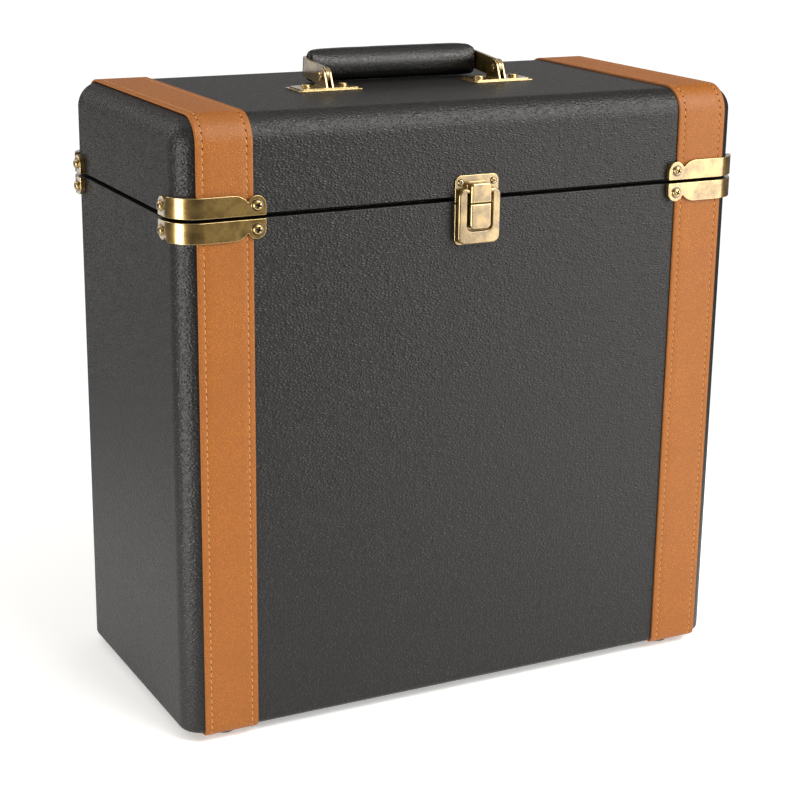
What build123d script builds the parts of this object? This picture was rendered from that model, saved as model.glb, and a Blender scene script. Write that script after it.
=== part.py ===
from build123d import *
import os
from math import asin, atan2, degrees, hypot, sqrt

# Record carrying case: a covered board box with a hinged lid, a hasp latch and a folding handle.
# Millimetres. +Z is up and the latch is on the -Y side. The origin is on the floor, under the
# middle of the case. Lengths ending in _t are thicknesses, in _r radii and in _s distances that
# a surface stands out from the covering, which is the case's outer face.

# The case itself
case_w = 355.0
case_d = 173.0
case_h = 349.0
lid_h = 53.5
seam_gap = 2.4
edge_r = 14.4
under_edge_r = 3.3
foot_h = 6.0
skin_t = 0.8
board_t = 7.0
lining_t = 2.5
lip_up = 8.0
lip_down = 24.0
lip_clear = 0.5
ledge_gap = 0.3
layer_gap = 0.05

# The two bands
band_in_x = 135.0
band_w = 32.1
band_t = 1.2

# The eight corner brackets: one leg along the front or back, one along the side
bracket_s = 3.0
bracket_low = 1.0
bracket_high = 12.2
bracket_leg = 49.0
bracket_side_leg = 21.0
bracket_depth = 5.0
ear_r = 5.2
ear_h = 6.5
shoulder_r = 11.0
side_shoulder_r = 2.4
throat_h = 8.4

# Screw heads, each made in one with the plate that it holds
head_r = 3.4
head_h = 1.8
small_head_r = 2.2
small_head_h = 0.6

# The hasp latch
latch_w = 27.4
plate_t = 1.0
plate_corner_r = 3.5
lid_plate_up = 13.2
body_plate_down = 26.0
split_down = 2.1
split_gap = 0.5
lap_gap = 0.1
block_w = 12.8
block_s = 6.8
block_up = 9.3
block_down = 16.6
block_top_r = 2.2
block_bottom_r = 2.6
block_edge_r = 0.6
ring_w = 26.5
ring_down = 25.3
ring_back_s = 2.0
ring_front_s = 5.0
ring_corner_r = 4.4
ring_edge_r = 1.3
ring_opening_w = 15.5
ring_bar_h = 7.4
opening_corner_r = 3.3
opening_edge_r = 0.8
ring_pin_r = 1.45
ring_axis_s = 3.9
ring_axis_up = 4.65
latch_screw_x = 10.4
latch_screw_up = 9.3
catch_screw_down = 16.0

# The two hinges
hinge_x = 95.0
hinge_w = 40.0
hinge_leaf = 24.0
hinge_t = 1.2
hinge_knuckle_r = 3.0
hinge_pin_r = 1.25
hinge_centre_w = 16.0
hinge_side_gap = 0.3
hinge_screw_x = 12.0
hinge_screw_h = 15.5
hinge_corner_r = 3.0
fit_gap = 0.05

# The handle, which pivots on two bases screwed to the lid
handle_half = 56.7
handle_y = -7.0
base_l = 40.4
base_w = 21.5
base_t = 0.8
base_step_t = 0.8
base_step_in = 1.9
base_corner_r = 1.6
base_screw_x = 11.6
pivot_h = 7.2
tab_t = 1.2
tab_r = 5.3
tab_foot = 8.4
strap_w = 11.0
strap_t = 1.8
strap_gap = 0.3
strap_bend_r = 6.0
rivet_r = 1.5
rivet_head_r = 2.9
rivet_head_h = 1.4
rivet_tail_r = 2.2
rivet_tail_h = 0.8
arm_l = 32.0
grip_w = 21.0
grip_h = 19.0
grip_r = 7.5
grip_back_r = 12.0
grip_front_r = 2.0
grip_end_r = 2.5
grip_rest_gap = 0.3

# The feet
foot_x = 150.0
foot_y = 70.0
foot_r = 8.0
foot_tip_r = 7.3
foot_recess_r = 4.0
foot_recess_h = 2.6

# Worked out from the sizes above
seam = foot_h + case_h - lid_h
body_top = seam - seam_gap / 2
lid_bottom = seam + seam_gap / 2
lid_top = foot_h + case_h
lip_top = seam + lip_up
lip_bottom = seam - lip_down
inside = skin_t + board_t
far = 2 * (case_w + case_d + case_h)
band_s = layer_gap + band_t
leg_screw_x = case_w / 2 - bracket_leg + ear_r
side_screw_y = case_d / 2 - bracket_side_leg + ear_r
hinge_s = hinge_knuckle_r
split = seam - split_down
base_top = base_t + base_step_t
tab_in = strap_t / 2 + strap_gap
tab_out = tab_in + tab_t
flat_y = arm_l - grip_w / 2 + grip_r
flat_z = grip_h / 2 - grip_r
drop = grip_r + grip_rest_gap - pivot_h
rest_angle = degrees(asin(drop / hypot(flat_y, flat_z)) + atan2(flat_z, flat_y))


def block(x, y, z):
    """A box from its three (low, high) pairs."""
    size = [high - low for low, high in (x, y, z)]
    middle = [(high + low) / 2 for low, high in (x, y, z)]
    return Pos(*middle) * Box(*size)


def rod(radius, low, high):
    """A round bar on Z between two heights."""
    return Pos(0, 0, (low + high) / 2) * Cylinder(radius, high - low)


def front(x, z):
    """A place on the front face, with its own Z pointing out."""
    return Location((x, -case_d / 2, z), (90, 0, 0))


def back(x, z):
    """A place on the back face, with its own Z pointing out."""
    return Location((x, case_d / 2, z), (-90, 0, 0))


def side(way, y, z):
    """A place on the left (-1) or right (1) face, with its own Z pointing out."""
    return Location((way * case_w / 2, y, z), (0, way * 90, 0))


def screw_head(seat, radius=head_r, height=head_h):
    """A screw's head on Z, sunk a little into the plate whose face is at the height of the seat."""
    return rod(radius, seat - plate_t / 2, seat + height)


# The case: boards, covering, lining, lip and bands

def form(grow):
    """The outer form of the closed case, grown outward, or shrunk to a hidden layer under it."""
    x = case_w / 2 + grow
    y = case_d / 2 + grow
    solid = block((-x, x), (-y, y), (foot_h - grow, lid_top + grow))
    low_edges = solid.edges().group_by(Axis.Z)[0]
    rounded = fillet([e for e in solid.edges() if e not in low_edges], edge_r + grow)
    under = rounded.edges().group_by(Axis.Z)[0]
    if grow < 0:
        return chamfer(under, under_edge_r + grow)
    return fillet(under, under_edge_r + grow)


def layer(outer, inner, low, high):
    """What lies between two depths below the covering's face, and between two heights."""
    x = case_w / 2 - inner
    y = case_d / 2 - inner
    hollow = block((-x, x), (-y, y), (foot_h + inner, lid_top - inner))
    return (outer - hollow) & block((-far, far), (-far, far), (low, high))


def carcass(low, high):
    """The boards: round outside under the covering, square inside, open at the seam."""
    return layer(form(-skin_t - layer_gap), inside, low, high)


def covering(low, high, rim_low, rim_high):
    """The covering, turned in over the edge of the boards at the seam."""
    skin = (form(0) - form(-skin_t)) & block((-far, far), (-far, far), (low, high))
    return skin + layer(form(-skin_t / 2), inside, rim_low, rim_high)


def square_layer(outer, inner, low, high):
    """A square-cornered layer inside the boards."""
    x = case_w / 2 - outer
    y = case_d / 2 - outer
    return layer(block((-x, x), (-y, y), (foot_h + outer, lid_top - outer)), inner, low, high)


def lining(low, high):
    return square_layer(inside + layer_gap, inside + lining_t, low, high)


def lip():
    """The frame inside the mouth of the body that the lid closes over."""
    glued = square_layer(inside + layer_gap, inside + lining_t, lip_bottom, body_top)
    upper = square_layer(inside + lip_clear, inside + lining_t, body_top - layer_gap, lip_top)
    return glued + upper


def band(way, low, high):
    """The band on the left or right, over the front, the back and the lid's top or the underside."""
    x = sorted((way * band_in_x, way * (band_in_x + band_w)))
    return (form(band_s) - form(layer_gap)) & block(x, (-far, far), (low, high))


# The corner brackets

def leg_outline(ear, radius, corner):
    """A leg's outline, u along the face and v above the seam: strap, shoulder, throat and ear."""
    drop_u = sqrt(radius**2 - (radius - bracket_high + throat_h) ** 2)
    shoulder = ear - ear_r - drop_u
    height = bracket_high - bracket_low
    strap = Pos((shoulder + corner) / 2, bracket_low + height / 2) * Rectangle(
        shoulder - corner, height
    )
    slab = Pos(ear, bracket_low + height / 2) * Rectangle(far, height)
    rounded = Pos(shoulder, bracket_high - radius) * Circle(radius) & slab
    throat_l = ear - shoulder
    throat = Pos(ear - throat_l / 2, (bracket_low + throat_h) / 2) * Rectangle(
        throat_l, throat_h - bracket_low
    )
    tip = Pos(ear, ear_h) * Circle(ear_r)
    tip += Pos(ear, (bracket_low + ear_h) / 2) * Rectangle(2 * ear_r, ear_h - bracket_low)
    return strap + rounded + throat + tip


def bracket():
    """The bracket above the seam at the front left: a leg on the front and one on the side."""
    long_leg = leg_outline(-leg_screw_x, shoulder_r, -far)
    short_leg = leg_outline(-side_screw_y, side_shoulder_r, -far)
    along_x = Plane((0, bracket_depth - case_d / 2, seam), (1, 0, 0), (0, -1, 0))
    along_y = Plane((bracket_depth - case_w / 2, 0, seam), (0, 1, 0), (1, 0, 0))
    legs = extrude(along_x * long_leg, far) + extrude(along_y * short_leg, -far)
    plate = legs & (form(bracket_s) - form(layer_gap))
    near = layer_gap - band_in_x
    over = -band_in_x - band_w - layer_gap
    plate -= form(band_s + layer_gap) & block((over, near), (-far, 0), (-far, far))
    plate += front(-leg_screw_x, seam + ear_h) * screw_head(bracket_s)
    return plate + side(-1, -side_screw_y, seam + ear_h) * screw_head(bracket_s)


def mirrored(shape, way_x, way_y, up):
    """The front left piece above the seam, mirrored to another corner."""
    if way_x > 0:
        shape = mirror(shape, Plane.YZ)
    if way_y > 0:
        shape = mirror(shape, Plane.XZ)
    if up < 0:
        shape = mirror(shape, Plane.XY.offset(seam))
    return shape


# The hasp latch

def front_block(half, out, z):
    """A box on the front: half its width, its distances out from the covering, its heights."""
    return block((-half, half), (-case_d / 2 - out[1], -case_d / 2 - out[0]), z)


def across(shape, height):
    """The edges of a shape on the front that point straight out at this height."""
    edges = shape.edges().filter_by(Axis.Y)
    return [e for e in edges if abs(e.center().Z - height) < layer_gap]


def latch_bar(radius, length):
    """A round bar along X on the axis of the hasp."""
    axis = Pos(0, -case_d / 2 - ring_axis_s, seam + ring_axis_up)
    return axis * Rot(0, 90, 0) * Cylinder(radius, length)


def latch_half(near, far_z, block_z, corner_r, screw_z):
    """A plate on the front with a drawn block on it, both cut off flat at the split."""
    plate = front_block(latch_w / 2, (0, plate_t), sorted((near, far_z)))
    plate = fillet(across(plate, far_z), plate_corner_r)
    raised = front_block(block_w / 2, (0, block_s), sorted((near, block_z)))
    raised = fillet(across(raised, block_z), corner_r)
    face = raised.faces().sort_by(Axis.Y)[0]
    raised = chamfer(face.edges(), block_edge_r)
    half = plate + raised
    for x in (-latch_screw_x, latch_screw_x):
        half += front(x, screw_z) * screw_head(plate_t, small_head_r, small_head_h)
    return half


def latch_lid_plate():
    """The lid's half: it laps the seam, and the hasp's bar turns in its block."""
    low = split + split_gap / 2
    high = seam + lid_plate_up
    half = latch_half(low, high, seam + block_up, block_top_r, seam + latch_screw_up)
    half -= front_block(latch_w, (0, lap_gap), (-far, lid_bottom))
    return half - latch_bar(ring_pin_r + fit_gap, far)


def latch_catch_plate():
    """The body's half, whose block the hasp closes over."""
    low = seam - body_plate_down
    high = split - split_gap / 2
    return latch_half(high, low, seam - block_down, block_bottom_r, seam - catch_screw_down)


def latch_ring():
    """The hasp: a closed ring hung from a round bar, with a thick lower bar to pull."""
    low = seam - ring_down
    high = seam + ring_axis_up + ring_pin_r
    ring = front_block(ring_w / 2, (ring_back_s, ring_front_s), (low, high))
    ring = fillet(ring.edges().filter_by(Axis.Y), ring_corner_r)
    ring = chamfer(ring.faces().sort_by(Axis.Y)[0].edges(), ring_edge_r)
    floor = low + ring_bar_h
    opening = front_block(ring_opening_w / 2, (0, far), (floor, far))
    ring -= fillet(across(opening, floor), opening_corner_r)
    rim = [e for e in ring.faces().sort_by(Axis.Y)[0].edges() if abs(e.center().X) < latch_screw_x]
    rim = [e for e in rim if e.bounding_box().max.Z < high - ring_edge_r + layer_gap]
    return chamfer(rim, opening_edge_r) + latch_bar(ring_pin_r, ring_opening_w + plate_t)


# The hinges

def hinge_bar(way, radius, length):
    """A round bar on the lid's hinge axis, in the middle of one hinge."""
    return Pos(way * hinge_x, case_d / 2 + hinge_s, seam) * Rot(0, 90, 0) * Cylinder(radius, length)


def hinge_leaf_plate(way, up):
    """The flat of the leaf above (1) or below (-1) the seam, with its two screw heads."""
    x = (way * hinge_x - hinge_w / 2, way * hinge_x + hinge_w / 2)
    tip = seam + up * hinge_leaf
    leaf = block(x, (case_d / 2, case_d / 2 + hinge_t), sorted((seam, tip)))
    leaf = fillet(across(leaf, tip), hinge_corner_r)
    for hand in (-1, 1):
        place = back(way * hinge_x + hand * hinge_screw_x, seam + up * hinge_screw_h)
        leaf += place * screw_head(hinge_t)
    return leaf


def hinge_body_leaf(way):
    """The body's leaf, with the two outer knuckles."""
    leaf = hinge_leaf_plate(way, -1) + hinge_bar(way, hinge_knuckle_r, hinge_w)
    leaf -= hinge_bar(way, hinge_knuckle_r + hinge_side_gap, hinge_centre_w + 2 * hinge_side_gap)
    return leaf - hinge_bar(way, hinge_pin_r + fit_gap, far)


def hinge_lid_leaf(way):
    """The lid's leaf, with the middle knuckle."""
    cleared = hinge_bar(way, hinge_knuckle_r + hinge_side_gap, far)
    cleared -= hinge_bar(way, hinge_knuckle_r + 2 * hinge_side_gap, hinge_centre_w)
    leaf = hinge_leaf_plate(way, 1) - cleared + hinge_bar(way, hinge_knuckle_r, hinge_centre_w)
    return leaf - hinge_bar(way, hinge_pin_r + fit_gap, far)


# The handle

def handle_base(way):
    """A stepped base plate with the two tabs that hold the strap, and its two screw heads."""
    plate = extrude(RectangleRounded(base_l, base_w, base_corner_r), base_t)
    step = RectangleRounded(base_l - 2 * base_step_in, base_w - 2 * base_step_in, base_corner_r)
    plate += Pos(0, 0, base_t) * extrude(step, base_step_t)
    tab = make_hull(
        (Pos(0, pivot_h) * Circle(tab_r) + Pos(0, base_t) * Rectangle(2 * tab_foot, base_t)).edges()
    )
    bore = Pos(0, pivot_h) * Circle(rivet_r + fit_gap)
    upright = Plane.YZ * (make_face(tab.edges()) - bore)
    plate += Pos(tab_in, 0, 0) * extrude(upright, tab_t)
    plate += Pos(-tab_out, 0, 0) * extrude(upright, tab_t)
    for hand in (-1, 1):
        plate += Pos(hand * base_screw_x, 0, 0) * screw_head(base_top)
    return Pos(way * handle_half, handle_y, lid_top) * plate


def rivet(way):
    """The headed pin through the tabs and the strap, its head outward."""
    head = rod(rivet_head_r, tab_out, tab_out + rivet_head_h)
    tail = rod(rivet_tail_r, -tab_out - rivet_tail_h, -tab_out)
    pin = rod(rivet_r, -tab_out, tab_out)
    return Pos(way * handle_half, handle_y, lid_top + pivot_h) * Rot(0, way * 90, 0) * (
        pin + head + tail
    )


def hold_handle(shape):
    """Place a piece made about the pivot, its arms along +Y, folded back onto the lid."""
    return Pos(0, handle_y, lid_top + pivot_h) * Rot(rest_angle, 0, 0) * shape


def strap(extra):
    """The flat strip bent to a U, about the pivot, with extra on every face."""
    half_out = handle_half + strap_t / 2 + extra
    half_in = handle_half - strap_t / 2 - extra
    reach = arm_l + strap_t / 2 + extra
    outer = block((-half_out, half_out), (-strap_w, reach), (-strap_w, strap_w))
    outer = fillet(outer.edges().filter_by(Axis.Z).group_by(Axis.Y)[-1], strap_bend_r + extra)
    inner = block((-half_in, half_in), (-far, reach - strap_t - 2 * extra), (-far, far))
    bend = strap_bend_r - strap_t - extra
    inner = fillet(inner.edges().filter_by(Axis.Z).group_by(Axis.Y)[-1], bend)
    half_w = strap_w / 2 + extra
    flat = block((-far, far), (0, far), (-half_w, half_w))
    return (outer - inner) & (flat + Rot(0, 90, 0) * Cylinder(half_w, far))


def handle_strap():
    return hold_handle(strap(0) - Rot(0, 90, 0) * Cylinder(rivet_r + fit_gap, case_w))


def handle_grip():
    """The padded grip, closed round the strap's cross piece."""
    half = handle_half - strap_t / 2 - layer_gap
    y = (arm_l - grip_w / 2, arm_l + grip_w / 2)
    section = block((-half, half), y, (-grip_h / 2, grip_h / 2))
    section = fillet(section.edges().filter_by(Axis.X), grip_r)
    plan = block((-half, half), y, (-far, far))
    plan = fillet(plan.edges().filter_by(Axis.Z).group_by(Axis.Y)[-1], grip_back_r)
    plan = fillet(plan.edges().filter_by(Axis.Z).group_by(Axis.Y)[0], grip_front_r)
    end = block((-half, half), (-far, far), (-grip_h / 2, grip_h / 2))
    end = fillet(end.edges().filter_by(Axis.Y), grip_end_r)
    return hold_handle((section & plan & end) - strap(layer_gap))


# The feet

def foot(x, y):
    """A rubber foot under a band, with the recess that its screw sits in."""
    height = foot_h - band_s
    round_foot = Cone(foot_tip_r, foot_r, height, align=(Align.CENTER, Align.CENTER, Align.MIN))
    return Pos(x, y, 0) * (round_foot - rod(foot_recess_r, -far, foot_recess_h))


def build():
    """Every piece, by the name of its node."""
    pieces = {
        "body_carcass": carcass(-far, body_top - skin_t - layer_gap),
        "body_covering": covering(-far, body_top, body_top - skin_t, body_top),
        "body_lining": lining(-far, lip_bottom - layer_gap),
        "body_rim_lip": lip(),
        "lid_carcass": carcass(lid_bottom + skin_t + layer_gap, far),
        "lid_covering": covering(lid_bottom, far, lid_bottom, lid_bottom + skin_t),
        "lid_lining": lining(lip_top + ledge_gap, far),
        "latch_lid_plate": latch_lid_plate(),
        "latch_catch_plate": latch_catch_plate(),
        "latch_ring": latch_ring(),
        "handle_strap": handle_strap(),
        "handle_grip": handle_grip(),
    }
    corner = bracket()
    for way, hand in ((-1, "left"), (1, "right")):
        pieces[f"body_band_{hand}"] = band(way, -far, body_top)
        pieces[f"lid_band_{hand}"] = band(way, lid_bottom, far)
        pieces[f"hinge_body_leaf_{hand}"] = hinge_body_leaf(way)
        pieces[f"hinge_lid_leaf_{hand}"] = hinge_lid_leaf(way)
        pieces[f"hinge_pin_{hand}"] = hinge_bar(way, hinge_pin_r, hinge_w)
        pieces[f"handle_base_{hand}"] = handle_base(way)
        pieces[f"handle_rivet_{hand}"] = rivet(way)
        for way_y, end in ((-1, "front"), (1, "rear")):
            pieces[f"foot_{end}_{hand}"] = foot(way * foot_x, way_y * foot_y)
            pieces[f"lid_corner_{end}_{hand}"] = mirrored(corner, way, way_y, 1)
            pieces[f"body_corner_{end}_{hand}"] = mirrored(corner, way, way_y, -1)
    return pieces


os.makedirs("parts", exist_ok=True)
for name, piece in build().items():
    export_step(piece, f"parts/{name}.step")
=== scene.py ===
from math import cos, pi, radians, sin

import bmesh
import bpy
from mathutils import Matrix, Vector, noise


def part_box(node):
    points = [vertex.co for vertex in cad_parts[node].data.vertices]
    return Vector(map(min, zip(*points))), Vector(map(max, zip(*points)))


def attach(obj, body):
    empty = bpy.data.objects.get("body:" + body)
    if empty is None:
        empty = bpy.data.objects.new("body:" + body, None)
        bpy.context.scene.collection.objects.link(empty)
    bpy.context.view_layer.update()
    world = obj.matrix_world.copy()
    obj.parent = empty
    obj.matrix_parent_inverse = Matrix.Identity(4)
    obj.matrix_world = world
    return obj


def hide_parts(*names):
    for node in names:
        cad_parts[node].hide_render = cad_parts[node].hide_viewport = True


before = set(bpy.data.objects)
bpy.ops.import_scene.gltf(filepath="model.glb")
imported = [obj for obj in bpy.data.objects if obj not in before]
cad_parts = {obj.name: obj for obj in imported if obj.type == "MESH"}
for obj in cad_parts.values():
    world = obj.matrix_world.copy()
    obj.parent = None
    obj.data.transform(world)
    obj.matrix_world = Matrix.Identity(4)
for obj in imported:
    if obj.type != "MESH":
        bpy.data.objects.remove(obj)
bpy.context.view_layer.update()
scene = bpy.context.scene
mm = 0.001

# The view: from the left of the front and a little above, on a long lens, so that the front, the
# left side and the top all show. The camera's turn, dip and lean are in radians.
eye = Vector((-518.4, -1002.5, 498.8)) * mm
turn, dip, lean = 0.476, 0.292, 0.013
ahead = Vector((sin(turn) * cos(dip), cos(turn) * cos(dip), -sin(dip)))
level = Vector((cos(turn), -sin(turn), 0))
upright = level.cross(ahead)
across = level * cos(lean) + upright * sin(lean)
above = upright * cos(lean) - level * sin(lean)
camera = bpy.data.objects.new("camera", bpy.data.cameras.new("camera"))
scene.collection.objects.link(camera)
axes = Matrix((across, above, -ahead)).transposed()
camera.matrix_world = Matrix.Translation(eye) @ axes.to_4x4()
camera.data.sensor_width = 36
camera.data.lens = 85.57
scene.camera = camera
scene.view_settings.view_transform = "Standard"

# The floor: a round sheet of white paper whose edge fades out well away from the case, so no
# line shows where it ends. The floor and the lamps are sized and placed in metres.
floor_reach = 0.7
floor_fade = 0.45
floor_rim = 0.02


def linear(shade):
    """A picked sRGB hex colour as the linear colour that a shader takes."""
    parts = [int(shade[i : i + 2], 16) / 255 for i in (1, 3, 5)]
    return [p / 12.92 if p <= 0.04045 else ((p + 0.055) / 1.055) ** 2.4 for p in parts] + [1]


def add(tree, kind, inputs=None, **settings):
    """A node of this kind; each input is a value, or another node's output to join it to."""
    made = tree.nodes.new(kind)
    for key, value in settings.items():
        setattr(made, key, value)
    for key, value in (inputs or {}).items():
        if isinstance(value, bpy.types.NodeSocket):
            tree.links.new(value, made.inputs[key])
        else:
            made.inputs[key].default_value = value
    return made


# Matt white background paper. It gives off a little light of its own, as paper lit from below
# does, so that it stays white right up to a soft shadow.
paper = bpy.data.materials.new("white paper, matt")
paper.use_nodes = True
tree = paper.node_tree
shader = tree.nodes["Principled BSDF"]
shader.inputs["Base Color"].default_value = linear("#f4f4f3")
shader.inputs["Roughness"].default_value = 0.85
shader.inputs["Specular IOR Level"].default_value = 0.2
shader.inputs["Emission Color"].default_value = linear("#ffffff")
shader.inputs["Emission Strength"].default_value = 0.34
place = add(tree, "ShaderNodeTexCoord").outputs["Object"]
reach = add(tree, "ShaderNodeVectorMath", {0: place}, operation="LENGTH").outputs["Value"]
fade = add(
    tree,
    "ShaderNodeMapRange",
    {"Value": reach, "From Min": floor_reach - floor_fade, "From Max": floor_reach - floor_rim},
    interpolation_type="SMOOTHSTEP",
).outputs["Result"]
clear = add(tree, "ShaderNodeBsdfTransparent").outputs[0]
mixed = add(tree, "ShaderNodeMixShader", {0: fade, 1: shader.outputs[0], 2: clear}).outputs[0]
tree.links.new(mixed, tree.nodes["Material Output"].inputs["Surface"])

disc = bmesh.new()
bmesh.ops.create_circle(disc, cap_ends=True, segments=96, radius=floor_reach)
sheet = bpy.data.meshes.new("floor")
disc.to_mesh(sheet)
disc.free()
sheet.materials.append(paper)
floor = bpy.data.objects.new("floor", sheet)
scene.collection.objects.link(floor)

# The light: a dim room whose white backdrop only the camera sees. A tall softbox stands at the
# right and one at the left, which draws the line of light on the rounded front edge. One is above
# the front, one behind and one overhead, and two weak cards behind fill the left side and the top.
room = bpy.data.worlds.new("white backdrop")
scene.world = room
room.use_nodes = True
tree = room.node_tree
seen = add(tree, "ShaderNodeLightPath").outputs["Is Camera Ray"]
backdrop = add(tree, "ShaderNodeBackground", {"Color": linear("#ffffff"), "Strength": 1.05})
dim = add(tree, "ShaderNodeBackground", {"Color": linear("#e9e9ec"), "Strength": 0.14})
both = add(tree, "ShaderNodeMixShader", {0: seen, 1: dim.outputs[0], 2: backdrop.outputs[0]})
tree.links.new(both.outputs[0], tree.nodes["World Output"].inputs["Surface"])


def softbox(name, place, aim, width, height, watts):
    """A flat lamp on a stand, turned to face a point, with a slightly warm light."""
    lamp = bpy.data.lights.new(name, "AREA")
    lamp.shape = "RECTANGLE"
    lamp.size = width
    lamp.size_y = height
    lamp.energy = watts
    lamp.color = (1, 0.98, 0.94)
    stand = bpy.data.objects.new(name, lamp)
    stand.visible_camera = False
    scene.collection.objects.link(stand)
    facing = (Vector(aim) - Vector(place)).to_track_quat("-Z", "Y")
    stand.matrix_world = Matrix.Translation(place) @ facing.to_matrix().to_4x4()


softbox("softbox_right", (1.12, -1.15, 0.35), (0.1, 0, 0.25), 1.0, 1.9, 30)
softbox("softbox_left", (-1.75, -0.6, -0.05), (-0.1, 0, 0.2), 0.9, 1.4, 46)
softbox("card_rear_left", (-0.95, 1.45, -0.05), (-0.1, 0, 0.3), 0.8, 0.5, 1.8)
softbox("softbox_back", (-1.3, 1.25, 1.3), (0, 0, 0.25), 1.0, 1.0, 16)
softbox("card_rear", (0.8, 1.6, 0.85), (0, 0, 0.35), 1.8, 0.6, 1.8)
softbox("softbox_front", (0.75, -1.25, 1.6), (0, 0, 0.25), 1.7, 0.8, 50)
softbox("softbox_top", (0, 0.1, 2.4), (0, 0, 0), 2.4, 2.0, 22)

# The covering: charcoal vinyl leatherette on cloth, embossed with a pebble grain, glued over the
# boards and turned in over their edges at the mouth of the case.
pebble_mm = 2.2
covering_dark = "#080706"
covering_light = "#181614"


def grained(name, low, high, pebble, dull, relief):
    """A grained surface: pebbles of this size in mm, parted by fine creases of this depth in mm."""
    finish = bpy.data.materials.new(name)
    finish.use_nodes = True
    tree = finish.node_tree
    per_metre = 1000 / pebble
    # The pebbles lie across the case, wider than they are high. A swirl some four pebbles wide
    # pulls their edges about, so that none is regular.
    spot = add(tree, "ShaderNodeTexCoord").outputs["Object"]
    place = add(tree, "ShaderNodeMapping", {"Vector": spot, "Scale": (1, 1, 1.6)}).outputs[0]
    drift = add(
        tree, "ShaderNodeTexNoise", {"Vector": place, "Scale": 0.26 * per_metre, "Detail": 2}
    )
    middle = add(
        tree,
        "ShaderNodeVectorMath",
        {0: drift.outputs["Color"], 1: (0.5, 0.5, 0.5)},
        operation="SUBTRACT",
    )
    pulled = add(
        tree,
        "ShaderNodeVectorMath",
        {0: middle.outputs[0], "Scale": 0.9 * pebble * mm},
        operation="SCALE",
    )
    warped = add(tree, "ShaderNodeVectorMath", {0: place, 1: pulled.outputs[0]}).outputs[0]
    cells = add(
        tree,
        "ShaderNodeTexVoronoi",
        {"Vector": warped, "Scale": per_metre},
        feature="DISTANCE_TO_EDGE",
    ).outputs["Distance"]
    dome = add(
        tree,
        "ShaderNodeMapRange",
        {"Value": cells, "From Max": 0.55},
        interpolation_type="SMOOTHSTEP",
    ).outputs["Result"]
    # Each pebble is a low dome, and soft folds a little wider than a pebble run under them all.
    fold = add(
        tree, "ShaderNodeTexNoise", {"Vector": place, "Scale": 0.7 * per_metre, "Detail": 1}
    )
    grain = add(
        tree, "ShaderNodeMath", {0: fold.outputs["Fac"], 1: 1.1, 2: dome}, operation="MULTIPLY_ADD"
    )
    bump = add(
        tree,
        "ShaderNodeBump",
        {"Height": grain.outputs[0], "Strength": 1.0, "Distance": relief * mm},
    )
    # The creases are painted darker than the pebbles' tops, as painted shade, and are duller; the
    # colour also drifts slowly.
    broad = add(
        tree, "ShaderNodeTexNoise", {"Vector": place, "Scale": 0.06 * per_metre, "Detail": 3}
    )
    shade = add(tree, "ShaderNodeMath", {0: dome, 1: broad.outputs["Fac"]}, operation="MULTIPLY")
    tint = add(
        tree,
        "ShaderNodeMix",
        {0: shade.outputs[0], 6: linear(low), 7: linear(high)},
        data_type="RGBA",
        clamp_factor=True,
    ).outputs[2]
    rough = add(
        tree,
        "ShaderNodeMapRange",
        {"Value": dome, "To Min": dull + 0.16, "To Max": dull - 0.02},
    ).outputs["Result"]
    shader = tree.nodes["Principled BSDF"]
    tree.links.new(tint, shader.inputs["Base Color"])
    tree.links.new(rough, shader.inputs["Roughness"])
    tree.links.new(bump.outputs[0], shader.inputs["Normal"])
    shader.inputs["Specular IOR Level"].default_value = 0.35
    return finish


# Charcoal PVC, calendered and embossed, with a satin top coat: dark and even, with a soft sheen
# broken up by the grain.
charcoal_vinyl = grained(
    "charcoal vinyl leatherette, embossed", covering_dark, covering_light, pebble_mm, 0.32, 0.23
)

weld_gap = 0.002
flat_within = radians(0.6)
edge_angle = radians(36)
covering_edge = 0.45


def merged(node):
    """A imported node's mesh with its doubled points joined, ready to be worked on."""
    made = bmesh.new()
    made.from_mesh(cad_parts[node].data)
    bmesh.ops.remove_doubles(made, verts=made.verts, dist=weld_gap * mm)
    return made


def flattened(made, across=None, at=(0, 0, 0)):
    """The same mesh with each flat face in one, or in two where it is cut across an opening."""
    if across:
        everything = made.verts[:] + made.edges[:] + made.faces[:]
        middle = Vector(at) * mm
        cut = bmesh.ops.bisect_plane(made, geom=everything, plane_co=middle, plane_no=across)
        for part in cut["geom_cut"]:
            if isinstance(part, bmesh.types.BMEdge):
                part.seam = True
    bmesh.ops.dissolve_limit(
        made, angle_limit=flat_within, verts=made.verts, edges=made.edges, delimit={"SEAM"}
    )
    return made


def worked(thing):
    """Works the modifiers into the object's mesh and takes them off."""
    bpy.context.view_layer.update()
    graph = bpy.context.evaluated_depsgraph_get()
    result = bpy.data.meshes.new_from_object(thing.evaluated_get(graph))
    thing.modifiers.clear()
    thing.data = result


def put(name, made, finishes, body, slot, *stands_for, edge=0.0, steps=2, rim=0):
    """A piece of the object, on its body and in its finishes, with its edges eased by so many mm.

    The eased edges take the finish numbered rim.
    """
    mesh = bpy.data.meshes.new(name)
    made.to_mesh(mesh)
    made.free()
    if "custom_normal" in mesh.attributes:
        mesh.attributes.remove(mesh.attributes["custom_normal"])
    mesh.materials.clear()
    for finish in finishes:
        mesh.materials.append(finish)
    mesh.shade_smooth()
    thing = bpy.data.objects.new(name, mesh)
    scene.collection.objects.link(thing)
    if edge:
        bevel = thing.modifiers.new("eased edges", "BEVEL")
        bevel.limit_method = "ANGLE"
        bevel.angle_limit = edge_angle
        bevel.width = edge * mm
        bevel.segments = steps
        bevel.use_clamp_overlap = False
        bevel.loop_slide = False
        bevel.material = rim
        normals = thing.modifiers.new("flat faces flat", "WEIGHTED_NORMAL")
        normals.weight = 80
        worked(thing)
    else:
        mesh.set_sharp_from_angle(angle=edge_angle)
    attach(thing, body)
    if stands_for:
        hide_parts(*stands_for)
    return thing


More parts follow.
